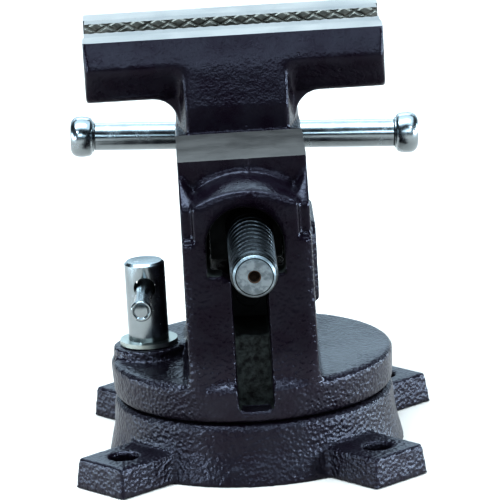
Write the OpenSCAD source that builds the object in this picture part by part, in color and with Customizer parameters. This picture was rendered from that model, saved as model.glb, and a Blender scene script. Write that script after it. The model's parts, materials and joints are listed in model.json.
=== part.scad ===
// Swivel-base bench vise with a flat anvil behind the fixed jaw.
// Millimetres, +Z up, origin on the swivel axis at the bench plane.
// The screw's free end points along -Y, the handle and the moving jaw are on the +Y side.

/* [Base] */
// Height of the base casting
base_h = 20.4; // [19:0.2:24]
// Radius of the base casting at its top edge
base_top_r = 46.4; // [46:0.2:49]
// Radius of the base casting at the bench
base_foot_r = 49.4; // [48.6:0.2:52]
// Radius of the circle that the bench bolts stand on
bolt_circle_r = 58.6; // [57:0.2:62]
// Radius of each bench bolt hole
bolt_hole_r = 4.75; // [3.5:0.25:5.5]
// Distance from the swivel axis to the end of a lug
lug_reach = 70.2; // [67:0.2:74]
// Width of a lug at the bench
lug_w = 23.6; // [20:0.2:28]
// Height of a lug
lug_h = 10.3; // [8:0.1:12]
// Angle that the base is turned under the body
base_turn = -4; // [-45:1:45]

/* [Turntable] */
// Radius of the turntable disc
disc_r = 47; // [46.8:0.1:48]
// Thickness of the turntable disc
disc_t = 12.7; // [12:0.1:15]
// Distance from the swivel axis to the lock bolt
lock_r = 34; // [34:0.25:35.5]
// Height of the round boss under the lock bolt
lock_boss_h = 3.6; // [2.5:0.1:5]

/* [Body] */
// Width of the pedestal and the anvil
body_w = 42; // [41:0.5:44]
// Distance from the swivel axis to the pedestal's rear face
rear_y = 43.4; // [42.5:0.1:44.4]
// Height of the screw axis above the bench
screw_z = 80.8; // [80:0.2:82]
// Distance that the screw axis lies to the right of the middle
screw_x = 1.2; // [0:0.1:1.5]
// Height of the anvil face above the bench
anvil_z = 105.5; // [104.5:0.5:108]
// Depth of the anvil face
anvil_d = 37.5; // [32:0.5:37.5]

/* [Jaws] */
// Width of the jaws
jaw_w = 100; // [90:1:110]
// Height of the jaw tops above the bench
jaw_z = 136.8; // [135:0.2:140]
// Height of a jaw, from its lower edge to its top
jaw_h = 21.2; // [20:0.1:22]
// Depth of a jaw's machined top, with its plate
jaw_top_d = 16; // [15:0.5:17]
// Thickness of a jaw plate
plate_t = 6; // [5:0.5:7]
// Opening between the jaw plates
jaw_gap = 14.5; // [14.5:0.5:40]

/* [Screw] */
// Outer radius of the screw thread
screw_r = 7.65; // [7.4:0.05:7.9]
// Lead of the screw thread
screw_lead = 5; // [3:0.5:6]
// Angle that the handle is turned about the screw axis
handle_angle = 2.8; // [-3:0.1:3]
// Radius of the handle bar
handle_r = 4.9; // [4.2:0.1:5]
// Overall length of the handle
handle_l = 123; // [110:1:140]
// Distance that the handle is pushed to the right
handle_shift = 2; // [-20:1:20]

/* [Lock bolt] */
// Radius of the lock bolt's head
lock_head_r = 6.7; // [6.3:0.1:7]
// Radius of the small bar through the lock bolt
lock_bar_r = 2.9; // [2.5:0.1:3.1]
// Length of the small bar
lock_bar_l = 45; // [42:1:46]
// Angle that the small bar is turned about the lock bolt
lock_bar_turn = -3; // [-8:1:8]

/* [Hidden] */
$fn = 96;

// Clearances: between faces that move past each other, and round a shaft that turns in a bore.
face_gap = 0.35;
shaft_gap = 0.06;
eps = 0.02;

// Heights of the turntable disc.
disc_z0 = base_h + 0.3;
disc_z1 = disc_z0 + disc_t;
half_w = body_w / 2;
foot_draft = 0.2;
foot_flare = 1.4;

// Jaw planes along Y, counted from the rear edge of the fixed jaw's top.
jaw_rear_y = 16;
fixed_face_y = jaw_rear_y + jaw_top_d;
fixed_seat_y = fixed_face_y - plate_t;
moving_face_y = fixed_face_y + jaw_gap;
moving_seat_y = moving_face_y + plate_t;
moving_front_y = moving_face_y + jaw_top_d;
jaw_low_z = jaw_z - jaw_h;
plate_h = 16.8;
plate_w = jaw_w - 1;
body_front_y = fixed_face_y - 3;
plate_screw_x = 32;
plate_screw_z = jaw_z - 9;

// Neck that joins the anvil to the fixed jaw.
neck_rear_y = 9.6;
neck_rear_w = 34;
neck_front_w = 41.6;
ear_fillet_r = 7;
jaw_crease_h = 9.6;

// Anvil and the housing behind it.
anvil_rear_y = -rear_y + 14;
shoulder_y = -rear_y + 4;
hood_half_w = 17.2;
hood_end_r = 34;
hood_end_z = screw_z + 17.1 - hood_end_r;
hood_root_r = 24.5;
hood_root_z = anvil_z - 4.2 - hood_root_r;
pad_step = 0.9;
shoulder_z = 92;
web_inner_x = 16;
web_inner_z = anvil_z - 10.9;
web_outer_z = anvil_z - 4.3;

// Slide tunnel and the slide that runs in it.
slide_r = 16;
channel_r = 12;
tunnel_r = slide_r + face_gap;
tunnel_floor_z = screw_z - 10.4;
tunnel_rear_y = -rear_y + 9.4;
slide_rear_y = tunnel_rear_y + 1 + jaw_gap;
rear_hole_r = 12.5;
rear_hole_x = -0.7;
rear_hole_z = screw_z - 1;

// Slot down the rear of the pedestal.
slot_w = 11.4;
slot_low_z = 25;
slot_step_z = 49;
slot_recess = 3.6;

// Main nut.
nut_r = channel_r - face_gap;
nut_rear_y = -rear_y + 22;
nut_l = 26;
stem_l = 18;
stem_z = 50.5;
nut_bolt_r = 2.5;
nut_bolt_z = 58;
nut_bolt_head_r = 4.25;
nut_bolt_head_h = 5;

// T-groove in the base and the parts in it.
flange_z = 14;
groove_z = 6;
groove_w = 11.4;
undercut_w = 16;
t_nut_w = 13.6;
t_nut_l = 15;
t_nut_h = 6.5;
bolt_r = 5;
pivot_recess_r = 13;
pivot_recess_z = 11;
pivot_washer_t = 1.6;
pivot_head_h = 6.4;
pivot_head_r = 9.8;

// Lock bolt, which stands to the left of the pedestal.
lock_angle = 177.4;
lock_head_z0 = disc_z1 + lock_boss_h + 1.7;
lock_head_z1 = lock_head_z0 + 26.7;
lock_hole_z = lock_head_z1 - 8.6;
lock_washer_t = 1.4;
lock_end_r = 3.55;
lock_end_l = 2.4;
lock_bar_out = 33;

// Moving jaw, screw head and handle.
boss_y0 = moving_seat_y + 14;
boss_y1 = boss_y0 + 21.7;
boss_r = 17;
head_y0 = boss_y1 + 2;
head_y1 = head_y0 + 28;
head_r = 12;
handle_y = head_y0 + 18.5;
screw_end_y = -86 + (jaw_gap - 14.5);
collar_l = 6.5;
collar_r = 10.4;
pin_r = 1.25;
knob_r = 7.2;
knob_l = 8.7;
centre_hole_r = 1.75;

// Frame on the lock bolt's axis, with its X and Y along the body's.
module at_lock() {
    translate([lock_r * cos(lock_angle), lock_r * sin(lock_angle), 0])
        children();
}

// Cylinder along +Y from y0 to y1.
module rod_y(r, y0, y1) {
    translate([0, y0, 0])
        rotate([-90, 0, 0])
            cylinder(r = r, h = y1 - y0);
}

// Outline in the Y-Z plane, extruded across X to the given width.
module across_x(width) {
    translate([-width / 2, 0, 0])
        rotate([90, 0, 90])
            linear_extrude(height = width)
                children();
}

// Outline in the X-Z plane, extruded from y0 to y1.
module along_y(y0, y1) {
    translate([0, y1, 0])
        rotate([90, 0, 0])
            linear_extrude(height = y1 - y0)
                children();
}

// Flat-bottomed arch in the X-Z plane, centred on the given height.
module arch(r, centre_z, floor_z) {
    translate([0, centre_z])
        circle(r = r);
    translate([-r, floor_z])
        square([2 * r, centre_z - floor_z]);
}

// Concave fillet of radius r between +X and +Y edges at the origin.
module fillet(r) {
    difference() {
        translate([-eps, -eps])
            square([r + eps, r + eps]);
        translate([r, r])
            circle(r = r);
    }
}

// Rectangle with rounded corners.
module round_rect(w, h, r) {
    for (sx = [-1, 1], sy = [-1, 1])
        translate([sx * (w / 2 - r), sy * (h / 2 - r)])
            circle(r = r);
    square([w - 2 * r, h], center = true);
    square([w, h - 2 * r], center = true);
}

// One drafted lug of the base, pointing along +X.
module lug() {
    draft = 1.1;
    inner_x = 30;
    hull() {
        translate([inner_x, -lug_w / 2, 0])
            cube([lug_reach - inner_x, lug_w, 0.1]);
        translate([inner_x, -lug_w / 2 + draft, lug_h - 0.1])
            cube([lug_reach - draft - inner_x, lug_w - 2 * draft, 0.1]);
    }
}

module base_wall() {
    rotate_extrude()
        polygon([
            [0, 0], [base_foot_r, 0], [base_foot_r - 0.9, 4], [base_top_r + 0.7, 10],
            [base_top_r, base_h - 1.2], [base_top_r - 1.2, base_h], [0, base_h]
        ]);
}

// T-groove all the way round, with its pocket for putting the T-nut in from below.
module t_groove() {
    rotate_extrude()
        translate([lock_r - groove_w / 2, flange_z - eps])
            square([groove_w, base_h]);
    rotate_extrude()
        translate([lock_r - undercut_w / 2, groove_z])
            square([undercut_w, flange_z - groove_z]);
    translate([0, lock_r, groove_z / 2])
        cube([21.5, undercut_w, groove_z + 1], center = true);
}

module base() {
    color("#3b3f49")
        rotate([0, 0, base_turn])
            difference() {
                union() {
                    base_wall();
                    for (a = [45:90:315])
                        rotate([0, 0, a])
                            lug();
                }
                t_groove();
                for (a = [45:90:315])
                    rotate([0, 0, a])
                        translate([bolt_circle_r, 0, -1])
                            cylinder(r = bolt_hole_r, h = lug_h + 2);
                translate([0, 0, -1])
                    cylinder(r = bolt_r + shaft_gap, h = base_h + 2);
                translate([0, 0, -1])
                    cylinder(r = pivot_recess_r, h = pivot_recess_z + 1);
            }
}

module turntable_disc() {
    rotate_extrude()
        polygon([
            [0, disc_z0], [disc_r - 2, disc_z0], [disc_r - 0.6, disc_z0 + 1.4],
            [disc_r, disc_z1 - 1.5], [disc_r - 1.5, disc_z1], [0, disc_z1]
        ]);
    intersection() {
        at_lock()
            translate([0, 0, disc_z0 + 4])
                cylinder(r = 12, h = disc_z1 - disc_z0 - 4 + lock_boss_h);
        translate([0, 0, disc_z0])
            cylinder(r = disc_r, h = 40);
    }
}

// Side view of the pedestal, the shoulders and the anvil.
module pedestal_profile() {
    polygon([
        [-rear_y - 0.6, disc_z1 - 4], [-rear_y, 50], [-rear_y, 81.5], [shoulder_y, 81.5],
        [shoulder_y, shoulder_z], [anvil_rear_y, web_inner_z], [anvil_rear_y, anvil_z],
        [anvil_rear_y + anvil_d, anvil_z], [anvil_rear_y + anvil_d, anvil_z - pad_step],
        [body_front_y, anvil_z - pad_step], [body_front_y, 60],
        [body_front_y - 2, 45], [body_front_y + 1, disc_z1 - 4]
    ]);
}

module pedestal() {
    top_half = half_w;
    foot_half = half_w + foot_draft;
    intersection() {
        across_x(body_w + 10)
            pedestal_profile();
        along_y(-rear_y - 2, body_front_y + 2)
            polygon([
                [-foot_half - foot_flare, disc_z1 - 4], [-foot_half - foot_flare, disc_z1], [-foot_half, disc_z1 + 3],
                [-top_half, 95], [-top_half, anvil_z], [top_half, anvil_z], [top_half, 95],
                [foot_half, disc_z1 + 3], [foot_half + foot_flare, disc_z1], [foot_half + foot_flare, disc_z1 - 4]
            ]);
        translate([0, (body_front_y - rear_y) / 2, disc_z0])
            linear_extrude(height = 100)
                round_rect(body_w + 2, body_front_y + rear_y, 2.4);
        cylinder(r = disc_r, h = jaw_z);
    }
}

// Arched housing over the tunnel's rear end, running up to the anvil.
module hood() {
    intersection() {
        hull() {
            translate([0, 0, hood_end_z])
                rod_y(hood_end_r, -rear_y, -rear_y + 0.2, $fn = 64);
            translate([0, 0, hood_root_z])
                rod_y(hood_root_r, anvil_rear_y, anvil_rear_y + 0.2, $fn = 64);
        }
        translate([0, 0, 70])
            linear_extrude(height = 60)
                polygon([
                    [-hood_half_w, -rear_y], [hood_half_w, -rear_y], [hood_half_w, shoulder_y],
                    [half_w - 1, anvil_rear_y + 1], [1 - half_w, anvil_rear_y + 1], [-hood_half_w, shoulder_y]
                ]);
    }
}

// Web on each side of the housing, from the shoulder up to the anvil's rear corner.
module shoulder_webs() {
    root_z = shoulder_z - 4;
    for (side = [0, 1])
        mirror([side, 0, 0])
            hull() {
                translate([half_w - eps, anvil_rear_y, root_z])
                    cube([eps, eps, web_outer_z - root_z]);
                translate([half_w - eps, shoulder_y, root_z])
                    cube([eps, eps, shoulder_z - root_z]);
                translate([web_inner_x, anvil_rear_y, root_z])
                    cube([eps, eps, web_inner_z - root_z]);
                translate([web_inner_x, shoulder_y, root_z])
                    cube([eps, eps, shoulder_z - root_z]);
            }
}

module neck() {
    intersection() {
        across_x(jaw_w)
            polygon([
                [neck_rear_y, anvil_z - 1], [neck_rear_y + 0.6, 114], [jaw_rear_y - 3, jaw_z - jaw_crease_h],
                [jaw_rear_y, jaw_z], [fixed_seat_y, jaw_z], [fixed_seat_y, jaw_low_z],
                [body_front_y, jaw_low_z], [body_front_y, anvil_z - 1]
            ]);
        translate([0, 0, anvil_z - 1])
            linear_extrude(height = 60)
                polygon([
                    [-neck_rear_w / 2, neck_rear_y], [neck_rear_w / 2, neck_rear_y],
                    [neck_front_w / 2, body_front_y], [-neck_front_w / 2, body_front_y]
                ]);
    }
}

// Ears of the fixed jaw: the bar across the top and the fillets under it.
module fixed_ears() {
    across_x(jaw_w)
        polygon([
            [fixed_seat_y, jaw_z], [jaw_rear_y, jaw_z], [jaw_rear_y - 3, jaw_z - jaw_crease_h],
            [jaw_rear_y + 1.5, jaw_low_z + 1.8], [jaw_rear_y + 3.5, jaw_low_z],
            [body_front_y, jaw_low_z], [body_front_y, jaw_z - plate_h], [fixed_seat_y, jaw_z - plate_h]
        ]);
    for (side = [0, 1])
        mirror([side, 0, 0])
            along_y(jaw_rear_y + 3, body_front_y)
                translate([neck_front_w / 2 - 1, jaw_low_z + eps])
                    mirror([0, 1])
                        fillet(ear_fillet_r + 1);
}

// Blank raised pad on the right side of the pedestal.
module side_pad() {
    translate([half_w - 1, -12, 69.2])
        rotate([90, 0, 90])
            linear_extrude(height = 2.8)
                round_rect(38, 27, 6);
}

module slide_tunnel() {
    along_y(tunnel_rear_y, body_front_y + 5)
        arch(tunnel_r, screw_z, tunnel_floor_z);
    along_y(-rear_y - 5, tunnel_rear_y + 1)
        translate([rear_hole_x, 0])
            arch(rear_hole_r, rear_hole_z, tunnel_floor_z);
}

// Slot under the rear hole: deep above the step, a shallow recess below it.
module rear_slot() {
    along_y(-rear_y - 5, nut_rear_y + stem_l)
        translate([-slot_w / 2, slot_step_z])
            square([slot_w, tunnel_floor_z - slot_step_z + 1]);
    along_y(-rear_y - 5, -rear_y + slot_recess)
        translate([0, (slot_low_z + slot_step_z + 6) / 2])
            round_rect(slot_w, slot_step_z + 6 - slot_low_z, 2);
}

module plate_screw_holes(seat_y, side) {
    for (sx = [-1, 1])
        translate([sx * plate_screw_x, seat_y, plate_screw_z])
            rotate([side * 90, 0, 0])
                translate([0, 0, -1])
                    cylinder(r = 3, h = 9.2, $fn = 32);
}

module body() {
    color("#3b3f49")
        difference() {
            union() {
                turntable_disc();
                pedestal();
                hood();
                shoulder_webs();
                neck();
                fixed_ears();
                side_pad();
            }
            slide_tunnel();
            rear_slot();
            plate_screw_holes(fixed_seat_y, 1);
            at_lock()
                cylinder(r = bolt_r + 0.4, h = 60);
            cylinder(r = bolt_r, h = disc_z1 - 1);
            translate([0, 0, nut_bolt_z])
                rod_y(nut_bolt_r, nut_rear_y, nut_rear_y + stem_l + 15, $fn = 32);
        }
}

// Plate that sits between its seat and the jaw face, with two countersunk holes.
module jaw_plate(seat_y, side) {
    difference() {
        translate([-plate_w / 2, min(seat_y, seat_y + side * plate_t), jaw_z - plate_h])
            cube([plate_w, plate_t, plate_h]);
        for (sx = [-1, 1])
            translate([sx * plate_screw_x, seat_y, plate_screw_z])
                rotate([-side * 90, 0, 0]) {
                    translate([0, 0, -1])
                        cylinder(r = 3, h = plate_t + 2, $fn = 32);
                    translate([0, 0, plate_t - 3])
                        cylinder(r1 = 3, r2 = 6.2, h = 3.2, $fn = 32);
                }
    }
}

// Two countersunk screws that hold a jaw plate.
module plate_screws(seat_y, side) {
    for (sx = [-1, 1])
        translate([sx * plate_screw_x, seat_y, plate_screw_z])
            rotate([-side * 90, 0, 0])
                difference() {
                    union() {
                        translate([0, 0, -8])
                            cylinder(r = 2.95, h = 8 + plate_t - 3, $fn = 32);
                        translate([0, 0, plate_t - 3])
                            cylinder(r1 = 2.95, r2 = 5.6, h = 2.7, $fn = 32);
                    }
                    translate([-5, -0.6, plate_t - 1.4])
                        cube([10, 1.2, 3]);
                }
}

module fixed_jaw_plate() {
    color("#6b6d6c")
        jaw_plate(fixed_seat_y, 1);
}

module fixed_plate_screws() {
    color("#8d9092")
        plate_screws(fixed_seat_y, 1);
}

module moving_jaw_plate() {
    color("#6b6d6c")
        jaw_plate(moving_seat_y, -1);
}

module moving_plate_screws() {
    color("#8d9092")
        plate_screws(moving_seat_y, -1);
}

// Threaded block inside the slide, with a stem that stands in the slot.
module main_nut() {
    color("#4a4a48")
        difference() {
            union() {
                along_y(nut_rear_y, nut_rear_y + nut_l)
                    arch(nut_r, screw_z, tunnel_floor_z);
                translate([-5.5, nut_rear_y, stem_z])
                    cube([11, stem_l, tunnel_floor_z - stem_z + 1]);
            }
            translate([screw_x, 0, screw_z])
                rod_y(screw_r + shaft_gap, nut_rear_y - 1, nut_rear_y + nut_l + 1);
            translate([0, 0, nut_bolt_z]) {
                rod_y(nut_bolt_r + 0.2, nut_rear_y - 1, nut_rear_y + stem_l + 1, $fn = 32);
                rod_y(nut_bolt_head_r + 0.2, nut_rear_y - 1, nut_rear_y + nut_bolt_head_h + 0.5, $fn = 48);
            }
        }
}

// Socket-head bolt along Y that pulls the nut's stem against the end of the slot.
module nut_bolt() {
    color("#55585c")
        translate([0, 0, nut_bolt_z])
            difference() {
                union() {
                    rod_y(nut_bolt_r - 0.05, nut_rear_y + 1, nut_rear_y + stem_l + 14, $fn = 32);
                    rod_y(nut_bolt_head_r, nut_rear_y + 0.5, nut_rear_y + nut_bolt_head_h + 0.5, $fn = 48);
                }
                rod_y(2.3, nut_rear_y - 1, nut_rear_y + 3.2, $fn = 6);
            }
}

// Hexagon bolt that holds the body on the base and is the swivel pivot.
module pivot_bolt() {
    head_z = pivot_recess_z - face_gap - pivot_washer_t - pivot_head_h;
    color("#6f7274") {
        translate([0, 0, head_z])
            cylinder(r = pivot_head_r, h = pivot_head_h, $fn = 6);
        translate([0, 0, head_z + pivot_head_h - eps])
            cylinder(r = bolt_r - 0.02, h = disc_z1 - 2 - head_z - pivot_head_h);
    }
}

module pivot_washer() {
    color("#8d9092")
        translate([0, 0, pivot_recess_z - face_gap - pivot_washer_t])
            difference() {
                cylinder(r = 11.5, h = pivot_washer_t);
                translate([0, 0, -1])
                    cylinder(r = bolt_r + 0.3, h = 4);
            }
}

// Block in the T-groove that the lock bolt screws into.
module lock_t_nut() {
    color("#55585c")
        at_lock()
            translate([0, 0, flange_z - face_gap - t_nut_h])
                difference() {
                    rotate([0, 0, lock_angle])
                        translate([-t_nut_w / 2, -t_nut_l / 2, 0])
                            cube([t_nut_w, t_nut_l, t_nut_h]);
                    translate([0, 0, -1])
                        cylinder(r = bolt_r + shaft_gap, h = t_nut_h + 2);
                }
}

// Lock bolt: plain round head with a cross hole, and a threaded shank.
module lock_bolt() {
    shank_z0 = flange_z - face_gap - t_nut_h - 1;
    color("#b9bdc0")
        at_lock()
            difference() {
                union() {
                    translate([0, 0, lock_head_z0])
                        cylinder(r = lock_head_r, h = lock_head_z1 - lock_head_z0 - 0.8);
                    translate([0, 0, lock_head_z1 - 0.8])
                        cylinder(r1 = lock_head_r, r2 = lock_head_r - 0.8, h = 0.8);
                    translate([0, 0, shank_z0])
                        cylinder(r = bolt_r, h = lock_head_z0 - shank_z0 + eps);
                }
                rotate([0, 0, lock_bar_turn])
                    translate([0, 0, lock_hole_z])
                        rod_y(lock_bar_r + 0.08, -10, 10, $fn = 48);
            }
}

module lock_washer() {
    color("#a7aaa8")
        at_lock()
            translate([0, 0, lock_head_z0 - lock_washer_t])
                difference() {
                    cylinder(r = 9.6, h = lock_washer_t);
                    translate([0, 0, -1])
                        cylinder(r = bolt_r + 0.3, h = 4);
                }
}

module lock_bar() {
    color("#b9bdc0")
        at_lock()
            rotate([0, 0, lock_bar_turn])
                translate([0, 0, lock_hole_z])
                    rod_y(lock_bar_r, -lock_bar_out + lock_end_l, lock_bar_l - lock_bar_out - lock_end_l, $fn = 48);
}

// Upset ends that keep the small bar in its hole.
module lock_bar_ends() {
    color("#b9bdc0")
        at_lock()
            rotate([0, 0, lock_bar_turn])
                translate([0, 0, lock_hole_z]) {
                    rod_y(lock_end_r, -lock_bar_out, -lock_bar_out + lock_end_l, $fn = 48);
                    rod_y(lock_end_r, lock_bar_l - lock_bar_out - lock_end_l, lock_bar_l - lock_bar_out, $fn = 48);
                }
}

// Ears of the moving jaw, the same bar turned to face the fixed jaw.
module moving_ears() {
    back_y = moving_front_y;
    across_x(jaw_w)
        polygon([
            [moving_seat_y, jaw_z], [back_y, jaw_z], [back_y + 3, jaw_z - jaw_crease_h],
            [back_y - 1.5, jaw_low_z + 1.8], [back_y - 3.5, jaw_low_z],
            [moving_face_y + 3, jaw_low_z], [moving_face_y + 3, jaw_z - plate_h],
            [moving_seat_y, jaw_z - plate_h]
        ]);
    for (side = [0, 1])
        mirror([side, 0, 0])
            along_y(moving_face_y + 3, back_y - 3)
                translate([neck_front_w / 2 - 1, jaw_low_z + eps])
                    mirror([0, 1])
                        fillet(ear_fillet_r + 1);
}

// Neck of the moving jaw: from the ears down and forward to the screw boss.
module moving_neck() {
    back_y = moving_front_y;
    intersection() {
        across_x(body_w)
            polygon([
                [moving_seat_y, jaw_z], [back_y, jaw_z], [back_y + 3, jaw_z - jaw_crease_h], [back_y + 6, 115],
                [boss_y1 - 7, 99], [boss_y1 - 5, screw_z + 12], [boss_y1 - 5, screw_z - 12],
                [boss_y1 - 9, 66], [moving_seat_y + 4, 62], [moving_seat_y, 66],
                [moving_seat_y, 96], [moving_face_y + 3, 104], [moving_face_y + 3, jaw_z - plate_h],
                [moving_seat_y, jaw_z - plate_h]
            ]);
        translate([0, 0, 55])
            linear_extrude(height = 90)
                polygon([
                    [-neck_front_w / 2, moving_face_y], [neck_front_w / 2, moving_face_y],
                    [neck_rear_w / 2, boss_y1 - 4], [-neck_rear_w / 2, boss_y1 - 4]
                ]);
    }
    translate([screw_x, 0, screw_z]) {
        rod_y(boss_r, boss_y0, boss_y1 - 1.2);
        translate([0, boss_y1 - 1.2, 0])
            rotate([-90, 0, 0])
                cylinder(r1 = boss_r, r2 = boss_r - 1.2, h = 1.2);
    }
}

// Moving jaw casting with its slide, a channel open at the bottom.
module moving_jaw() {
    color("#3b3f49")
        difference() {
            union() {
                moving_ears();
                moving_neck();
                along_y(slide_rear_y, moving_seat_y + 6)
                    arch(slide_r, screw_z, tunnel_floor_z + face_gap);
            }
            along_y(slide_rear_y - 1, boss_y0)
                arch(channel_r, screw_z, 50);
            translate([screw_x, 0, screw_z])
                rod_y(screw_r + shaft_gap, boss_y0 - 1, boss_y1 + 1);
            plate_screw_holes(moving_seat_y, -1);
        }
}

// Screw: threaded length, plain journal through the boss, and the head with its cross hole.
module main_screw() {
    thread_y1 = boss_y0 - collar_l - 4;
    ring_count = floor((thread_y1 - screw_end_y - 8) / screw_lead);
    color("#8f9493")
        difference() {
            translate([screw_x, 0, screw_z])
                union() {
                    rod_y(screw_r - 1.2, screw_end_y, thread_y1);
                    rod_y(screw_r - 0.6, screw_end_y, screw_end_y + 3);
                    for (i = [0:ring_count])
                        rod_y(screw_r, screw_end_y + 4 + i * screw_lead, screw_end_y + 6 + i * screw_lead);
                    rod_y(screw_r, thread_y1 - 1, head_y0 + eps);
                    rod_y(head_r, head_y0, head_y1 - 1.5);
                    rod_y(head_r + 1.6, head_y0, head_y0 + 3.5);
                    translate([0, head_y1 - 1.5 - eps, 0])
                        rotate([-90, 0, 0])
                            cylinder(r1 = head_r, r2 = head_r - 1.5, h = 1.5);
                }
            translate([screw_x, handle_y, screw_z])
                rotate([0, 90 + handle_angle, 0])
                    cylinder(r = handle_r + 0.08, h = 40, center = true);
            translate([screw_x, 0, screw_z])
                rod_y(centre_hole_r, screw_end_y - 1, screw_end_y + 5, $fn = 32);
            translate([screw_x, boss_y0 - face_gap - collar_l / 2, screw_z])
                cylinder(r = pin_r + 0.05, h = 30, center = true, $fn = 32);
        }
}

module thrust_washer() {
    color("#a7aaa8")
        translate([screw_x, 0, screw_z])
            difference() {
                rod_y(14, head_y0 - 1.6, head_y0);
                rod_y(screw_r + 0.2, head_y0 - 3, head_y0 + 1);
            }
}

// Collar pinned to the screw behind the boss, which pulls the jaw back when the screw is undone.
module retaining_collar() {
    color("#6f7274")
        translate([screw_x, 0, screw_z])
            difference() {
                rod_y(collar_r, boss_y0 - face_gap - collar_l, boss_y0 - face_gap);
                rod_y(screw_r + 0.03, boss_y0 - collar_l - 3, boss_y0 + 1);
                translate([0, boss_y0 - face_gap - collar_l / 2, 0])
                    cylinder(r = pin_r + 0.05, h = 30, center = true, $fn = 32);
            }
}

module collar_pin() {
    color("#8d9092")
        translate([screw_x, boss_y0 - face_gap - collar_l / 2, screw_z])
            cylinder(r = pin_r, h = 2 * collar_r - 0.4, center = true, $fn = 32);
}

// Frame of the handle: +X along the bar, turned about the screw axis.
module at_handle() {
    translate([screw_x, handle_y, screw_z])
        rotate([0, handle_angle, 0])
            translate([handle_shift, 0, 0])
                children();
}

module handle_bar() {
    color("#c3c7ca")
        at_handle()
            rotate([0, 90, 0])
                cylinder(r = handle_r, h = handle_l - 2 * knob_l, center = true);
}

// Barrel-shaped end of the handle, whose inner face is at the origin.
module handle_knob() {
    rotate([0, 90, 0])
        rotate_extrude()
            polygon([
                [0, 0], [handle_r + 0.9, 0], [knob_r - 0.5, 1.6], [knob_r, 3.2],
                [knob_r, knob_l - 3.4], [knob_r - 0.7, knob_l - 1.4], [knob_r - 2.2, knob_l - 0.3], [0, knob_l]
            ]);
}

module handle_knob_left() {
    color("#c3c7ca")
        at_handle()
            translate([-handle_l / 2 + knob_l, 0, 0])
                mirror([1, 0, 0])
                    handle_knob();
}

module handle_knob_right() {
    color("#c3c7ca")
        at_handle()
            translate([handle_l / 2 - knob_l, 0, 0])
                handle_knob();
}

base();
body();
fixed_jaw_plate();
fixed_plate_screws();
main_nut();
nut_bolt();
pivot_bolt();
pivot_washer();
lock_t_nut();
lock_bolt();
lock_washer();
lock_bar();
lock_bar_ends();
moving_jaw();
moving_jaw_plate();
moving_plate_screws();
main_screw();
thrust_washer();
retaining_collar();
collar_pin();
handle_bar();
handle_knob_left();
handle_knob_right();
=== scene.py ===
"""Swivel-base bench vise: enamelled castings, knurled jaw plates, a threaded screw and plated handles."""
import contextlib
import json
import math
import bmesh
import bpy
import numpy as np
from mathutils import Matrix, Vector, noise


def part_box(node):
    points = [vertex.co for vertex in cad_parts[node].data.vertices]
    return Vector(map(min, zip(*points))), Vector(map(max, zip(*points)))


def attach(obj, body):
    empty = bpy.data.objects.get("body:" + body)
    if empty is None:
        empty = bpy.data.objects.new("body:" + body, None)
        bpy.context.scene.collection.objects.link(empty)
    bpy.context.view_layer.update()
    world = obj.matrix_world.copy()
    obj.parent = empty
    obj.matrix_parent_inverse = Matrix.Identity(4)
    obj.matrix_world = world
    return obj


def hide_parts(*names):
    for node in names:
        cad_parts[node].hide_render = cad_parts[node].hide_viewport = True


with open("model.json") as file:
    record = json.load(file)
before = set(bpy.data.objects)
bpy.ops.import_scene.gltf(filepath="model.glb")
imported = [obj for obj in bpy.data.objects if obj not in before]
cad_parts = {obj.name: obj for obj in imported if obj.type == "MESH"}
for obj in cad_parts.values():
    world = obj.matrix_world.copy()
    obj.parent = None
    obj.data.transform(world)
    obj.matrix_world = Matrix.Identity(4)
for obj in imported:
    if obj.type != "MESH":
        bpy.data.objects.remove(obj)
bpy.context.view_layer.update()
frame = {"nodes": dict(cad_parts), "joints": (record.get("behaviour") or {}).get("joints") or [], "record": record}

nodes = frame["nodes"]
MM = 0.001
SAME_PLACE = 1e-5

# Planes and axes that the pieces are built on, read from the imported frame.
joints = {joint["name"]: joint for joint in frame["joints"]}
jaw_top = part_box("body")[1].z
anvil_top = frame["record"]["mounts"][2]["pos_m"][2]
rear_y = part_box("body")[0].y
screw_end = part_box("main_screw")[0].y
head_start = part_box("thrust_washer")[1].y
screw_axis = Vector(joints["screw_turn"]["pos_m"])


# ---------------------------------------------------------------- node materials

def new_material(name):
    material = bpy.data.materials.new(name)
    material.use_nodes = True
    tree = material.node_tree
    return material, tree, tree.nodes["Principled BSDF"]


def node(tree, kind, inputs=None, **settings):
    """A shader node; inputs maps a socket to a value or to another node's output."""
    made = tree.nodes.new(kind)
    for key, value in settings.items():
        setattr(made, key, value)
    for key, value in (inputs or {}).items():
        if isinstance(value, bpy.types.NodeSocket):
            tree.links.new(value, made.inputs[key])
        else:
            made.inputs[key].default_value = value
    return made


def object_coords(tree, stretch=(1, 1, 1)):
    coords = node(tree, "ShaderNodeTexCoord").outputs["Object"]
    if stretch == (1, 1, 1):
        return coords
    return node(tree, "ShaderNodeMapping", {"Vector": coords, "Scale": stretch}).outputs["Vector"]


def noise_tex(tree, coords, size_mm, detail=2.0, rough=0.5):
    """Noise whose features are about size_mm across."""
    return node(tree, "ShaderNodeTexNoise", {
        "Vector": coords, "Scale": 1000 / size_mm, "Detail": detail, "Roughness": rough}).outputs["Fac"]


def spread(tree, value, low, high, start=0.3, end=0.7):
    """Maps start..end to low..high, smoothly and clamped."""
    return node(tree, "ShaderNodeMapRange", {
        "Value": value, "From Min": start, "From Max": end, "To Min": low, "To Max": high},
        interpolation_type="SMOOTHSTEP").outputs["Result"]


def blend_color(tree, factor, first, second):
    """Each color is a triple or another node's output."""
    mix = node(tree, "ShaderNodeMix", data_type="RGBA")
    for socket, value in ((0, factor), (6, first), (7, second)):
        if isinstance(value, bpy.types.NodeSocket):
            tree.links.new(value, mix.inputs[socket])
        else:
            mix.inputs[socket].default_value = (*value, 1) if socket else value
    return mix.outputs[2]


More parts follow.
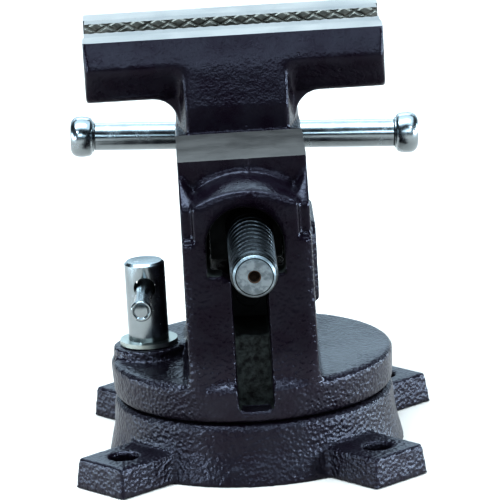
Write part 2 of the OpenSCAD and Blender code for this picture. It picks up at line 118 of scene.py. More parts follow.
def math_node(tree, operation, first, second=0.0):
    made = node(tree, "ShaderNodeMath", operation=operation)
    for socket, value in enumerate((first, second)):
        if isinstance(value, bpy.types.NodeSocket):
            tree.links.new(value, made.inputs[socket])
        else:
            made.inputs[socket].default_value = value
    return made.outputs[0]


def bump(tree, shader, height, depth_mm):
    normal = node(tree, "ShaderNodeBump", {
        "Height": height, "Distance": depth_mm * MM, "Strength": 1.0}).outputs["Normal"]
    tree.links.new(normal, shader.inputs["Normal"])


def paint(tree, shader, factor, first, second):
    """Base color that runs from the first to the second as the factor goes from 0 to 1."""
    tree.links.new(blend_color(tree, factor, first, second), shader.inputs["Base Color"])


def darker(color, share):
    return tuple(channel * share for channel in color)


def enamel():
    """Dark slate enamel over sand-cast iron: coarse and satin low down, fine and glossy higher up."""
    grain_high, grain_low = 115 * MM, 35 * MM
    disc_top, body_foot = 36 * MM, 46 * MM
    wall_low = 30 * MM
    material, tree, shader = new_material("enamel")
    coords = object_coords(tree)
    level = node(tree, "ShaderNodeSeparateXYZ", {0: coords}).outputs["Z"]
    cells = node(tree, "ShaderNodeTexVoronoi", {
        "Vector": coords, "Scale": 780.0, "Smoothness": 0.6}, feature="SMOOTH_F1").outputs["Distance"]
    lumps = noise_tex(tree, coords, 3.0, detail=3.0, rough=0.55)
    sand = noise_tex(tree, coords, 0.9, detail=2.0, rough=0.6)
    patches = noise_tex(tree, coords, 24.0)
    pits = node(tree, "ShaderNodeTexVoronoi", {"Vector": coords, "Scale": 105.0}).outputs["Distance"]
    pinhole = spread(tree, pits, 1.0, 0.0, 0.03, 0.07)
    grain = math_node(tree, "MULTIPLY", cells, spread(tree, patches, 0.45, 1.1, 0.35, 0.65))
    rough_cast = math_node(tree, "ADD", grain, math_node(tree, "MULTIPLY", lumps, 0.6))
    coarse = math_node(tree, "MULTIPLY", rough_cast, spread(tree, level, 0.8, 0.14, grain_low, grain_high))
    height = math_node(tree, "ADD", coarse, math_node(tree, "MULTIPLY", sand, 0.22))
    height = math_node(tree, "SUBTRACT", height, math_node(tree, "MULTIPLY", pinhole, 0.3))
    bump(tree, shader, height, 0.48)
    shade = spread(tree, noise_tex(tree, coords, 8.0, detail=4.0, rough=0.6), 0, 1)
    paint(tree, shader, shade, (0.0045, 0.0015, 0.0045), (0.009, 0.007, 0.010))
    gloss = spread(tree, patches, 0.2, 0.3)
    satin = math_node(tree, "ADD", gloss, spread(tree, level, 0.09, 0, wall_low, disc_top))
    tree.links.new(satin, shader.inputs["Roughness"])
    tree.links.new(spread(tree, level, 0.37, 0.19, disc_top, body_foot), shader.inputs["Specular IOR Level"])
    shader.inputs["Specular Tint"].default_value = (0.93, 0.87, 1, 1)
    return material


def slot_iron_painted_shade():
    """Unpainted casting skin inside the slot and the tunnel, coloured near black as painted shade."""
    material, tree, shader = new_material("slot_iron_painted_shade")
    coords = object_coords(tree)
    crust = noise_tex(tree, coords, 2.2, detail=5.0, rough=0.65)
    # Near black: painted shade on the bare iron in the slot and tunnel.
    paint(tree, shader, spread(tree, crust, 0, 1), (0.006, 0.005, 0.005), (0.035, 0.036, 0.033))
    tree.links.new(spread(tree, crust, 0.5, 0.85), shader.inputs["Roughness"])
    shader.inputs["Specular IOR Level"].default_value = 0.05
    bump(tree, shader, crust, 0.7)
    return material


def ground_steel(name, color, rough, scratch=1.0):
    """Machined steel with fine grinding lines along X, faint stains and uneven polish."""
    material, tree, shader = new_material(name)
    lines = noise_tex(tree, object_coords(tree, (0.03, 1, 1)), 0.35, detail=3.0, rough=0.6)
    stains = noise_tex(tree, object_coords(tree), 14.0, detail=4.0, rough=0.6)
    half_lines, half_stains = (math_node(tree, "MULTIPLY", part, 0.5) for part in (lines, stains))
    both = math_node(tree, "ADD", half_lines, half_stains)
    paint(tree, shader, spread(tree, both, 0, 1, 0.38, 0.62), darker(color, 0.78), color)
    tree.links.new(spread(tree, stains, rough - 0.06, rough + 0.08), shader.inputs["Roughness"])
    shader.inputs["Metallic"].default_value = 1.0
    bump(tree, shader, lines, 0.03 * scratch)
    return material


def plated(name, color, rough, wave_mm=0.02):
    """Plating over turned bar: bright, with slight waves and a few dull patches."""
    material, tree, shader = new_material(name)
    coords = object_coords(tree)
    waves = noise_tex(tree, coords, 4.0, detail=3.0)
    haze = noise_tex(tree, coords, 7.0, detail=4.0, rough=0.65)
    paint(tree, shader, spread(tree, haze, 0, 1), darker(color, 0.86), color)
    tree.links.new(spread(tree, haze, rough, rough + 0.12), shader.inputs["Roughness"])
    shader.inputs["Metallic"].default_value = 1.0
    bump(tree, shader, waves, wave_mm)
    return material


def turned_steel(name, color, rough, oily, dark_below_mm=None):
    """Turned steel with rings about the screw axis, smears of old oil, and near-black colour below a radius."""
    near_black, dark_edge_mm = (0.008, 0.008, 0.007), 0.25
    material, tree, shader = new_material(name)
    coords = object_coords(tree)
    centred = node(tree, "ShaderNodeVectorMath", {
        0: coords, 1: (screw_axis.x, 0, screw_axis.z)}, operation="SUBTRACT").outputs[0]
    flat = node(tree, "ShaderNodeVectorMath", {0: centred, 1: (1, 0, 1)}, operation="MULTIPLY").outputs[0]
    radius = node(tree, "ShaderNodeVectorMath", {0: flat}, operation="LENGTH").outputs["Value"]
    rings = noise_tex(tree, node(tree, "ShaderNodeCombineXYZ", {"X": radius}).outputs[0], 0.45)
    smears = noise_tex(tree, coords, 3.2, detail=5.0, rough=0.65)
    shade = blend_color(tree, spread(tree, smears, 0, 1, 0.42, 0.6), darker(color, oily), color)
    # Near black below the radius: the thread's grooves and lower flanks.
    if dark_below_mm:
        clean = spread(tree, radius, 0, 1, (dark_below_mm - dark_edge_mm) * MM, dark_below_mm * MM)
        shade = blend_color(tree, clean, near_black, shade)
    tree.links.new(shade, shader.inputs["Base Color"])
    tree.links.new(spread(tree, smears, rough + 0.15, rough), shader.inputs["Roughness"])
    shader.inputs["Metallic"].default_value = 1.0
    bump(tree, shader, rings, 0.04)
    return material


def oiled_iron(name, color, rough, metallic, grain_mm=0.8, depth_mm=0.08):
    """Dark steel or iron left bare: mottled, with an uneven oily film."""
    material, tree, shader = new_material(name)
    coords = object_coords(tree)
    mottle = noise_tex(tree, coords, 2.5, detail=5.0, rough=0.6)
    grain = noise_tex(tree, coords, grain_mm)
    paint(tree, shader, spread(tree, mottle, 0, 1), darker(color, 0.55), color)
    tree.links.new(spread(tree, mottle, rough - 0.1, rough + 0.15), shader.inputs["Roughness"])
    shader.inputs["Metallic"].default_value = metallic
    bump(tree, shader, grain, depth_mm)
    return material


ENAMEL = enamel()
SLOT_IRON_PAINTED_SHADE = slot_iron_painted_shade()
JAW_TOP = ground_steel("jaw_top_ground", (0.30, 0.27, 0.25), 0.36)
ANVIL_TOP = ground_steel("anvil_ground", (0.133, 0.118, 0.109), 0.62, 0.9)
PLATE = oiled_iron("jaw_plate_blackened", (0.17, 0.155, 0.135), 0.4, 0.7, 0.6, 0.04)
PLATE_TOP = ground_steel("plate_top_ground", (0.24, 0.215, 0.2), 0.34)
SCREW = turned_steel("screw_steel", (0.035, 0.036, 0.038), 0.27, 0.8, 7.3)
SCREW_END = turned_steel("screw_end_steel", (0.22, 0.235, 0.245), 0.36, 0.6)
HEAD = turned_steel("head_steel", (0.27, 0.285, 0.295), 0.26, 0.72)
CHROME = plated("chrome", (0.275, 0.29, 0.295), 0.17)
ZINC = plated("zinc", (0.33, 0.34, 0.31), 0.28, 0.03)
BLACK = oiled_iron("black_oxide", (0.03, 0.03, 0.032), 0.45, 0.5)
IRON = oiled_iron("bare_iron", (0.10, 0.10, 0.10), 0.5, 0.6)
RUST = oiled_iron("rust", (0.05, 0.022, 0.009), 0.8, 0.0, 0.4, 0.1)
# Near-black iron as painted shade: the nut and its bolt deep in the tunnel and slot, and the walls of the lock
# bolt's cross hole.
PAINTED_SHADE_IRON = oiled_iron("painted_shade_iron", (0.006, 0.006, 0.006), 0.75, 0.2)


# ---------------------------------------------------------------- mesh helpers

def link(mesh, name, materials):
    piece = bpy.data.objects.new(name, mesh)
    bpy.context.scene.collection.objects.link(piece)
    for material in materials:
        mesh.materials.append(material)
    return piece


def place(piece, body, slot_name, *replaced):
    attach(piece, body)
    if replaced:
        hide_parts(*replaced)


@contextlib.contextmanager
def editing(mesh):
    """The mesh as a bmesh, which is written back at the end."""
    bm = bmesh.new()
    bm.from_mesh(mesh)
    yield bm
    bm.to_mesh(mesh)
    bm.free()


def mesh_from(bm, name):
    """The bmesh as a mesh; the bmesh is freed."""
    mesh = bpy.data.meshes.new(name)
    bm.to_mesh(mesh)
    bm.free()
    return mesh


def applied(mesh, add_modifiers):
    """A new mesh with the modifiers applied; the given one is removed."""
    work = link(mesh, "work", [])
    add_modifiers(work)
    bpy.context.view_layer.update()
    result = bpy.data.meshes.new_from_object(work.evaluated_get(bpy.context.evaluated_depsgraph_get()))
    bpy.data.objects.remove(work)
    bpy.data.meshes.remove(mesh)
    return result


def add_bevel(piece, segments):
    bevel = piece.modifiers.new("broken_edges", "BEVEL")
    bevel.width, bevel.segments = 0.35 * MM, segments
    bevel.limit_method, bevel.angle_limit = "ANGLE", math.radians(40)


def smooth_by_angle(mesh, degrees):
    """Smooth shading, with edges sharper than the angle kept crisp."""
    limit = math.radians(degrees)
    with editing(mesh) as bm:
        for face in bm.faces:
            face.smooth = True
        for edge in bm.edges:
            edge.smooth = len(edge.link_faces) == 2 and edge.calc_face_angle(0) < limit


def welded_copy(node_name):
    """The CAD node's mesh as a new bmesh with its split vertices joined."""
    bm = bmesh.new()
    bm.from_mesh(nodes[node_name].data)
    bmesh.ops.remove_doubles(bm, verts=bm.verts, dist=2e-6)
    return bm


def remeshed(bm):
    """Even small faces over the closed shape, as a new mesh."""
    def add_remesh(work):
        remesh = work.modifiers.new("remesh", "REMESH")
        remesh.mode, remesh.voxel_size = "VOXEL", 0.6 * MM

    return applied(mesh_from(bm, "work"), add_remesh)


def relax(mesh, rounds, cast_mm, soft=None, soft_rounds=0):
    """Rounds the edges as a sand mould does, more where soft() says so, then adds shallow lumps."""
    step_share = 0.6
    coarse_lumps, fine_lumps, fine_share = 240, 520, 0.6
    count = len(mesh.vertices)
    points = np.empty(count * 3)
    mesh.vertices.foreach_get("co", points)
    points = points.reshape(-1, 3)
    edges = np.empty(len(mesh.edges) * 2, dtype=np.int64)
    mesh.edges.foreach_get("vertices", edges)
    first, second = edges.reshape(-1, 2).T
    degree = np.bincount(first, minlength=count) + np.bincount(second, minlength=count)
    share = step_share * (soft(points) if soft else np.zeros(count))
    for step in range(rounds + soft_rounds):
        total = np.stack([
            np.bincount(first, points[second, axis], count) + np.bincount(second, points[first, axis], count)
            for axis in range(3)], axis=1)
        pull = step_share if step < rounds else share[:, None]
        points = points + pull * (total / degree[:, None] - points)
    mesh.vertices.foreach_set("co", points.ravel())
    mesh.update()
    normals = np.empty(count * 3)
    mesh.vertices.foreach_get("normal", normals)
    lumps = np.array([
        noise.noise(Vector(p) * coarse_lumps) + fine_share * noise.noise(Vector(p) * fine_lumps)
        for p in points])
    points = points + normals.reshape(-1, 3) * (lumps * cast_mm * MM)[:, None]
    mesh.vertices.foreach_set("co", points.ravel())
    mesh.update()


def cut_flat(bm, height, material_index, keep=lambda centre: True):
    """Cuts off what stands above the height and closes it with one flat machined face."""
    reach = 3.5 * MM
    upper = []
    for face in bm.faces:
        centre = face.calc_center_median()
        if centre.z > height - reach and keep(centre):
            upper.append(face)
    geom = set(upper)
    for face in upper:
        geom.update(face.edges)
        geom.update(face.verts)
    cut = bmesh.ops.bisect_plane(
        bm, geom=list(geom), plane_co=(0, 0, height), plane_no=(0, 0, 1), clear_outer=True, dist=1e-7)
    rim = [e for e in cut["geom_cut"] if isinstance(e, bmesh.types.BMEdge) and e.is_boundary]
    filled = bmesh.ops.triangle_fill(bm, edges=rim, use_beauty=False, use_dissolve=False, normal=(0, 0, 1))
    for face in filled["geom"]:
        if isinstance(face, bmesh.types.BMFace):
            face.material_index = material_index
            face.smooth = False
    for edge in rim:
        edge.smooth = False


def at_height(vert, height):
    return abs(vert.co.z - height) < SAME_PLACE


def raise_top(bm, height, lean):
    """Moves the vertices at the height up, so that the flat can be cut after rounding.
    lean(co) is the shift along Y, or None where the vertex stays."""
    for vert in bm.verts:
        shift = lean(vert.co) if at_height(vert, height) else None
        if shift is not None:
            vert.co.y += shift
            vert.co.z += LIFT


# ---------------------------------------------------------------- castings

# Machined tops are raised by LIFT before rounding, along the slope of the jaws' outer faces.
LIFT = 2.4 * MM
SLOPE = 3 / 9.6 * LIFT


def inside_casting(point):
    """True on the walls of the rear slot, the rear hole and the tunnel, which carry no enamel and are coloured
    near black as painted shade.
    """
    x, depth, height = point.x / MM, (point.y - rear_y) / MM, (point.z - screw_axis.z) / MM
    slot_half_w, slot_depth, slot_low, slot_high = 5.65, 45, -55.3, -9
    hole_x, hole_z, hole_r, hole_depth = -0.7, -1, 12.8, 9.6
    tunnel_r, tunnel_depth = 16.6, 72
    if abs(x) < slot_half_w and 0.5 < depth < slot_depth and slot_low < height < slot_high:
        return True
    if depth < hole_depth:
        beside, above = abs(x - hole_x), height - hole_z
        in_hole = math.hypot(beside, above) < hole_r or (above < 0 and beside < hole_r)
        return depth > 0.9 and height > -10.7 and in_hole
    in_tunnel = math.hypot(x, height) < tunnel_r or (height < 0 and abs(x) < tunnel_r)
    return depth < tunnel_depth and height > -10.9 and in_tunnel


def near(values, centre_mm, reach_mm):
    """1 around the centre, falling to 0 at the reach."""
    return np.clip(1.3 - 1.3 * abs(values / MM - centre_mm) / reach_mm, 0, 1)


def body_softness(points):
    """Where the pattern had large fillets: the crease under the jaw and the root of the hood."""
    crease_below_top, crease_front = 10.5, 24 * MM
    hood_z, hood_front, hood_half_w = 95, -26 * MM, 15.5 * MM
    x, y, z = points.T
    crease = near(z, jaw_top / MM - crease_below_top, 7.5) * (y < crease_front)
    hood = near(z, hood_z, 9) * (y < hood_front) * (abs(x) < hood_half_w)
    return np.maximum(crease, hood)


def add_parting_ridge(bm):
    """A low ridge down the face under the anvil, where the mould's halves met."""
    ridge_x, half_w, ridge_h = 1.6, 0.9, 0.6
    low, high, face_y = 97 * MM, 107 * MM, -28 * MM
    for vert in bm.verts:
        beside = abs(vert.co.x / MM - ridge_x)
        if beside < half_w and vert.co.y < face_y and low < vert.co.z < high:
            vert.co.y -= ridge_h * MM * (1 - beside / half_w)


def body_casting():
    materials = [ENAMEL, JAW_TOP, ANVIL_TOP, SLOT_IRON_PAINTED_SHADE]
    anvil_front, anvil_edge = 8.4 * MM, 8.9 * MM
    bm = welded_copy("body")
    low_y = min(v.co.y for v in bm.verts if at_height(v, jaw_top))
    raise_top(bm, jaw_top, lambda co: SLOPE if co.y < low_y + SAME_PLACE else 0)
    raise_top(bm, anvil_top, lambda co: 0 if co.y < anvil_front else None)
    mesh = remeshed(bm)
    relax(mesh, 7, 0.04, body_softness, 24)
    with editing(mesh) as bm:
        for face in bm.faces:
            face.smooth = True
            # Slot, hole and tunnel walls get bare iron coloured near black, as painted shade.
            bare_with_painted_shade = inside_casting(face.calc_center_median())
            face.material_index = materials.index(SLOT_IRON_PAINTED_SHADE if bare_with_painted_shade else ENAMEL)
        add_parting_ridge(bm)
        cut_flat(bm, jaw_top, materials.index(JAW_TOP))
        cut_flat(bm, anvil_top, materials.index(ANVIL_TOP),
                 lambda centre: centre.y < anvil_edge and centre.z < anvil_top + 4 * MM)
    place(link(mesh, "body_casting", materials), "body", "enamel_casting", "body")


def moving_casting():
    materials = [ENAMEL, JAW_TOP]
    bm = welded_copy("moving_jaw")
    high_y = max(v.co.y for v in bm.verts if at_height(v, jaw_top))
    raise_top(bm, jaw_top, lambda co: -SLOPE if co.y > high_y - SAME_PLACE else 0)
    mesh = remeshed(bm)
    relax(mesh, 7, 0.05)
    with editing(mesh) as bm:
        for face in bm.faces:
            face.smooth = True
        cut_flat(bm, jaw_top, materials.index(JAW_TOP))
    place(link(mesh, "moving_jaw_casting", materials), "jaw", "enamel_casting", "moving_jaw")


def base_casting():
    mesh = remeshed(welded_copy("base"))
    relax(mesh, 8, 0.06)
    for vertex in mesh.vertices:
        vertex.co.z = max(vertex.co.z, 0)
    for polygon in mesh.polygons:
        polygon.use_smooth = True
    place(link(mesh, "base_casting", [ENAMEL]), "base", "enamel_casting", "base")


# ---------------------------------------------------------------- jaw plates

def knurl_depth(x, z):
    """Depth in millimetres of the crossed grooves between the diamonds."""
    diamond_w, diamond_h = 7, 3.6
    groove_half_w, groove_depth = 0.62, 0.6
    first, second = x / diamond_w + z / diamond_h, x / diamond_w - z / diamond_h
    across = math.hypot(1 / diamond_w, 1 / diamond_h)
    nearest = np.minimum(abs(first - np.round(first)), abs(second - np.round(second))) / across
    return groove_depth * np.clip(1 - nearest / groove_half_w, 0, 1) ** 0.8


def knurled_plate(name, node_name, body, screws, facing):
    """Jaw plate as a fine grid over its gripping face, with countersinks where the screws stand."""
    columns, rows = 340, 60
    sink_r, sink_depth, screw_head_r = 6.0, 3, 5.6
    diamond_shift = 0.9
    low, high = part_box(node_name)
    screw_low, screw_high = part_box(screws)
    screw_x_mm = screw_high.x / MM - screw_head_r
    screw_z_mm = (screw_low.z + screw_high.z) / 2 / MM
    face_y, back_y = (high.y, low.y) if facing > 0 else (low.y, high.y)
    xs = np.linspace(low.x, high.x, columns + 1) / MM
    zs = np.linspace(low.z, high.z, rows + 1) / MM
    grid_x, grid_z = np.meshgrid(xs, zs)
    depth = knurl_depth(grid_x, grid_z - zs[-1] + diamond_shift)
    for side in (-1, 1):
        away = np.hypot(grid_x - side * screw_x_mm, grid_z - screw_z_mm)
        depth = np.maximum(depth, np.clip(sink_r - away, 0, sink_depth))
    ys = face_y - facing * depth * MM
    points = np.stack([grid_x * MM, ys, grid_z * MM], axis=-1).reshape(-1, 3)
    index = np.arange((columns + 1) * (rows + 1)).reshape(rows + 1, columns + 1)
    loop = list(index[0, :]) + list(index[1:, -1]) + list(index[-1, -2::-1]) + list(index[-2:0:-1, 0])
    backs = [(points[i][0], back_y, points[i][2]) for i in loop]
    start, count = len(points), len(loop)
    faces = [(index[r, c], index[r, c + 1], index[r + 1, c + 1], index[r + 1, c])
             for r in range(rows) for c in range(columns)]
    faces += [(loop[k], start + k, start + (k + 1) % count, loop[(k + 1) % count]) for k in range(count)]
    faces.append(tuple(start + k for k in range(count)))
    mesh = bpy.data.meshes.new(name)
    mesh.from_pydata([tuple(p) for p in points] + backs, [], [tuple(int(i) for i in f) for f in faces])
    materials = [PLATE, PLATE_TOP]
    with editing(mesh) as bm:
        bmesh.ops.recalc_face_normals(bm, faces=bm.faces)
        for face in bm.faces:
            on_top = face.normal.z > 0.99 and face.calc_center_median().z > high.z - 1e-6
            face.material_index = materials.index(PLATE_TOP if on_top else PLATE)
    place(link(mesh, name, materials), body, "jaw_plate_steel", node_name)


# ---------------------------------------------------------------- turned pieces

def turned(name, rings, materials, frame_matrix, segments, offset=None, material_of=None):
    """Closed surface turned about local +Y through (radius, along) rings in millimetres.
    offset(along, angles) adds to the radius, as a thread does; the first and last ring lie on the axis."""
    angles = np.arange(segments) * 2 * math.pi / segments
    points, faces, marks = [(0.0, rings[0][1], 0.0)], [], []
    for radius, along in rings[1:-1]:
        radii = np.full(segments, radius) + (offset(along, angles) if offset else 0)
        points += [(r * math.cos(a), along, r * math.sin(a)) for r, a in zip(radii, angles)]
    points.append((0.0, rings[-1][1], 0.0))
    last = len(points) - 1
    for ring in range(len(rings) - 1):
        mark = material_of(ring) if material_of else 0
        for k in range(segments):
            following = (k + 1) % segments
            a, b = 1 + (ring - 1) * segments + k, 1 + (ring - 1) * segments + following
            c, d = a + segments, b + segments
            if ring == 0:
                faces.append((0, c, d))
            elif ring == len(rings) - 2:
                faces.append((b, a, last))
            else:
                faces.append((a, c, d, b))
            marks.append(mark)
    mesh = bpy.data.meshes.new(name)
    mesh.from_pydata([tuple(Vector(p) * MM) for p in points], [], faces)
    mesh.polygons.foreach_set("material_index", marks)
    mesh.transform(frame_matrix)
    with editing(mesh) as bm:
        bmesh.ops.recalc_face_normals(bm, faces=bm.faces)
    smooth_by_angle(mesh, 38)
    return link(mesh, name, materials)


def axis_frame(origin, direction):
    """Matrix that takes local +Y to the direction and the local origin to the given point."""
    rotation = Vector((0, 1, 0)).rotation_difference(Vector(direction).normalized()).to_matrix().to_4x4()
    return Matrix.Translation(origin) @ rotation


def arc_rings(radius, centre_r, centre_y, start, end, steps):
    """Rings along an arc, with angles in degrees from the outward direction towards +Y."""
    angles = [math.radians(start + (end - start) * k / steps) for k in range(steps + 1)]
    return [(centre_r + radius * math.cos(a), centre_y + radius * math.sin(a)) for a in angles]


def screw_thread():
    """Screw from its free end to its head: centre hole, chamfer, run-out groove, helical thread, journal."""
    lead, crest, root, step = 5.0, 7.65, 6.9, 0.14
    groove_half_w, flank_w = 0.2, 0.085
    fade_in, fade_out = 1.2, 2.5
    start, thread_end, journal_end = screw_end / MM, 55.0, head_start / MM + 1
    thread_start = start + 2.5
    centre_hole = [(0, 4.2), (0.9, 3.8), (1.7, 2.8), (1.75, 0.35)]
    end_face = [(2.1, 0), (3.9, 0.02), (5.8, 0)]
    chamfer = [(6.1, 0.1), (6.9, 0.9), (7.25, 1.3)]
    run_out = [(7.3, 2.0), (7.1, 2.3)]
    rings = [(radius, start + along) for radius, along in centre_hole + end_face + chamfer + run_out]
    along = start + 2.6
    while along < thread_end:
        rings.append((root, along))
        along += step
    rings += [(crest - 0.1, thread_end + 0.3), (crest, thread_end + 0.6)]
    rings += [(crest, journal_end), (0, journal_end)]
    face_ring = len(centre_hole)
    bright_rings = (face_ring, face_ring + 1, face_ring + 3)

    def offset(y, angles):
        if y < thread_start or y > thread_end:
            return 0
        phase = np.mod((y - start) / lead + angles / (2 * math.pi), 1.0)
        groove = np.clip((groove_half_w - abs(phase - 0.5)) / flank_w, 0, 1)
        fade = min(1, (y - thread_start) / fade_in, (thread_end + 0.3 - y) / fade_out)
        return (crest - root) * (1 - groove) * max(0, fade)

    materials = [SCREW, RUST, SCREW_END]

    def material_of(ring):
        if ring < face_ring:
            return materials.index(RUST)
        return materials.index(SCREW_END if ring in bright_rings else SCREW)

    centre = Matrix.Translation((screw_axis.x, 0, screw_axis.z))
    piece = turned("screw_thread", rings, materials, centre, 96, offset, material_of)
    place(piece, "screw", "screw_steel", "main_screw")


def screw_head():
    """Head of the screw with its cross hole, its edges broken by a small bevel."""
    bm = welded_copy("main_screw")
    geom = list(bm.verts) + list(bm.edges) + list(bm.faces)
    cut = bmesh.ops.bisect_plane(
        bm, geom=geom, plane_co=(0, head_start - SAME_PLACE, 0), plane_no=(0, 1, 0), clear_inner=True)
    rim = [e for e in cut["geom_cut"] if isinstance(e, bmesh.types.BMEdge)]
    bmesh.ops.triangle_fill(bm, edges=rim, use_beauty=True, use_dissolve=False, normal=(0, -1, 0))
    mesh = mesh_from(bm, "screw_head")
    smooth_by_angle(mesh, 30)
    piece = link(mesh, "screw_head", [HEAD])
    add_bevel(piece, 2)
    place(piece, "screw", "screw_steel")


def handle():
    """Sliding bar and its two barrel ends, along the slide's own axis."""
    bevel = 0.3
    low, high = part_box("handle_bar")
    direction = Vector(joints["handle_slide"]["axis"]).normalized()
    centre = (low + high) / 2
    radius = (high.y - low.y) / 2 / MM
    half = ((high.x - low.x) / MM - 2 * radius * abs(direction.z)) / abs(direction.x) / 2
    rings = [(0, -half), (radius - bevel, -half), (radius, -half + bevel), (radius, -half / 2), (radius, 0),
             (radius, half / 2), (radius, half - bevel), (radius - bevel, half), (0, half)]
    bar = turned("handle_rod", rings, [CHROME], axis_frame(centre, direction), 64)
    place(bar, "handle", "chrome_plate", "handle_bar")
    knob_r, knob_l = 7.2, 8.45
    inner_arc, outer_arc = 1.6, 3.0
    knob = [(0, 0.05), (radius + 0.35, 0.05), (radius + 0.5, 0.25), (radius + 0.55, 0.5)]
    knob += arc_rings(inner_arc, knob_r - 1.9, 2.2, -75, -20, 4)
    knob += [(knob_r - 0.12, 3.1), (knob_r, 4.2), (knob_r - 0.05, 5.3)]
    knob += arc_rings(outer_arc, knob_r - 3.1, knob_l - outer_arc, 10, 82, 7)
    knob += [(1.6, knob_l), (0, knob_l)]
    for side, name in ((-1, "left"), (1, "right")):
        frame_matrix = axis_frame(centre + direction * side * half * MM, direction * side)
        piece = turned(f"knob_{name}", knob, [CHROME], frame_matrix, 64)
        place(piece, "handle", "chrome_plate", f"handle_knob_{name}")


def lock_bolt():
    """Bolt head whose cross hole is wider than the bar, so that a dark gap shows over the bar; the hole's walls
    are coloured near black as painted shade.
    """
    hole_r, bar_gap = 3.6 * MM, 0.05 * MM
    direction = Vector(joints["lock_bar_slide"]["axis"]).normalized()
    low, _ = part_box("lock_bar")
    axis_x, axis_y, _ = joints["lock_turn"]["pos_m"]
    centre = Vector((axis_x, axis_y, low.z + hole_r - bar_gap))
    turn = Vector((0, 0, 1)).rotation_difference(direction).to_matrix().to_4x4()
    bm = bmesh.new()
    bmesh.ops.create_cone(bm, cap_ends=True, segments=64, radius1=hole_r, radius2=hole_r, depth=30 * MM,
                          matrix=Matrix.Translation(centre) @ turn)
    cutter_mesh = mesh_from(bm, "cutter")
    cutter = link(cutter_mesh, "cutter", [])

    def add_cut(work):
        cut = work.modifiers.new("cut", "BOOLEAN")
        cut.object, cut.operation, cut.solver = cutter, "DIFFERENCE", "EXACT"
        add_bevel(work, 3)

    mesh = applied(mesh_from(welded_copy("lock_bolt"), "work"), add_cut)
    bpy.data.objects.remove(cutter)
    bpy.data.meshes.remove(cutter_mesh)
    materials = [CHROME, PAINTED_SHADE_IRON]
    # The cross hole's walls take the near-black iron, as painted shade.
    for polygon in mesh.polygons:
        offset = polygon.center - centre
        from_axis = (offset - direction * offset.dot(direction)).length
        in_hole = from_axis < hole_r + 0.03 * MM
        polygon.material_index = materials.index(PAINTED_SHADE_IRON if in_hole else CHROME)
    smooth_by_angle(mesh, 30)
    place(link(mesh, "lock_bolt_head", materials), "lock", "chrome_plate", "lock_bolt")


def lock_bar_caps():
    """Upset ends of the small bar: a ring, a shallow groove and the bar's own peened end."""
    cap_r = 3.55
    direction = Vector(joints["lock_bar_slide"]["axis"]).normalized()
    low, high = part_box("lock_bar_ends")
    centre = (low + high) / 2
    half = ((high.y - low.y) / MM - 2 * cap_r * abs(direction.x)) / direction.y / 2
    cap = [(0, -2.4), (3.2, -2.4), (3.5, -2.1), (cap_r, -1.4), (3.5, -0.7), (3.2, -0.3), (2.75, -0.25),
           (2.45, -0.55), (2.25, -0.6), (2.05, -0.2), (1.2, -0.02), (0, 0)]
    for side, name, replaced in ((-1, "outer", ["lock_bar_ends"]), (1, "inner", [])):
        frame_matrix = axis_frame(centre + direction * side * half * MM, direction * side)
        piece = turned(f"lock_bar_cap_{name}", cap, [CHROME], frame_matrix, 48)
        place(piece, "bar", "chrome_plate", *replaced)


# ---------------------------------------------------------------- camera, lights, floor

COOL = (0.68, 0.87, 1.0)


def make_camera():
    """Long lens behind and above the vise, turned a little about the view axis."""
    pitch, yaw, roll = (math.radians(a) for a in (14.7, 0.75, 3.35))
    distance, lens = 1.66, 360
    target = Vector((0.0014, 0.0, 0.0671))
    forward = Vector((math.sin(yaw) * math.cos(pitch), math.cos(yaw) * math.cos(pitch), -math.sin(pitch)))
    right = Vector((math.cos(yaw), -math.sin(yaw), 0))
    up = right.cross(forward)
    right_rolled = right * math.cos(roll) - up * math.sin(roll)
    up_rolled = up * math.cos(roll) + right * math.sin(roll)
    data = bpy.data.cameras.new("camera")
    data.lens, data.sensor_width, data.clip_end = lens, 36, 20
    camera = bpy.data.objects.new("camera", data)
    bpy.context.scene.collection.objects.link(camera)
    basis = Matrix((right_rolled, up_rolled, -forward)).transposed()
    camera.matrix_world = Matrix.Translation(target - forward * distance) @ basis.to_4x4()
    bpy.context.scene.camera = camera


def area_light(name, location, size, power, target=(0, 0, 0.07)):
    data = bpy.data.lights.new(name, "AREA")
    data.shape, data.size, data.size_y = "RECTANGLE", *size
    data.energy, data.color = power, COOL
    lamp = bpy.data.objects.new(name, data)
    bpy.context.scene.collection.objects.link(lamp)
    lamp.location = location
    lamp.rotation_euler = (Vector(target) - Vector(location)).to_track_quat("-Z", "Y").to_euler()


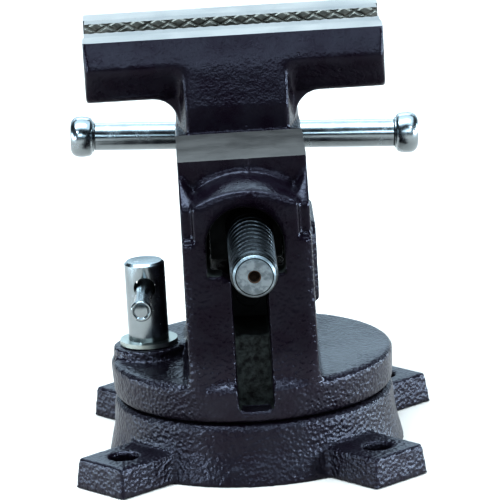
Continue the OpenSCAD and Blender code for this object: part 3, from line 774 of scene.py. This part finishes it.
def studio():
    """Soft boxes above, behind, in front and low at both sides, and small ones for the glints."""
    view = bpy.context.scene.view_settings
    view.view_transform, view.look = "Standard", "High Contrast"
    world = bpy.data.worlds.new("world")
    bpy.context.scene.world = world
    world.use_nodes = True
    background = world.node_tree.nodes["Background"]
    background.inputs["Color"].default_value = (*COOL, 1)
    background.inputs["Strength"].default_value = 0.06
    area_light("overhead", (0.0, 0.1, 1.6), (2.6, 2.0), 40)
    area_light("back", (0.0, 1.7, 0.45), (2.6, 0.8), 7.2)
    area_light("far", (0.0, 2.4, 1.4), (3.0, 1.0), 24, (0, 2.2, 0))
    area_light("front", (0.1, -1.5, 0.75), (1.4, 0.4), 11)
    area_light("left", (-1.2, 0.0, 0.13), (1.2, 0.22), 9.5)
    area_light("right", (1.2, 0.1, 0.13), (1.4, 0.22), 16)
    area_light("crown", (-0.3, -0.1, 1.5), (1.5, 0.5), 33, (-0.3, 0, 0.07))
    area_light("crest", (0.0, 1.3, 1.25), (0.9, 0.4), 5.5)
    area_light("left_rim", (-0.55, -0.9, 1.0), (0.16, 0.16), 3)
    area_light("right_rim", (0.55, -0.9, 1.0), (0.16, 0.16), 3)
    area_light("left_spark", (-0.9, -0.75, 0.22), (0.12, 0.14), 3.5)
    area_light("right_spark", (0.95, -0.6, 0.2), (0.12, 0.14), 6.5)


def floor():
    half = 4
    mesh = bpy.data.meshes.new("floor")
    corners = [(-half, -half, 0), (half, -half, 0), (half, half, 0), (-half, half, 0)]
    mesh.from_pydata(corners, [], [(0, 1, 2, 3)])
    material, tree, shader = new_material("floor")
    paper = noise_tex(tree, object_coords(tree), 60.0, detail=3.0)
    paint(tree, shader, paper, (0.52, 0.44, 0.395), (0.54, 0.46, 0.41))
    shader.inputs["Roughness"].default_value = 0.9
    link(mesh, "floor", [material])


make_camera()
studio()
floor()
body_casting()
moving_casting()
base_casting()
knurled_plate("fixed_plate_knurled", "fixed_jaw_plate", "body", "fixed_plate_screws", 1)
knurled_plate("moving_plate_knurled", "moving_jaw_plate", "jaw", "moving_plate_screws", -1)
screw_thread()
screw_head()
handle()
lock_bolt()
lock_bar_caps()

# The nut and its bolt, seen only deep in the tunnel and slot, take the near-black iron as painted shade.
for name, material in {
    "fixed_plate_screws": BLACK, "moving_plate_screws": BLACK, "main_nut": PAINTED_SHADE_IRON, "nut_bolt": PAINTED_SHADE_IRON,
    "pivot_bolt": BLACK, "pivot_washer": ZINC, "lock_t_nut": BLACK, "lock_washer": ZINC,
    "lock_bar": CHROME, "thrust_washer": ZINC, "retaining_collar": IRON, "collar_pin": IRON,
}.items():
    nodes[name].data.materials.clear()
    nodes[name].data.materials.append(material)
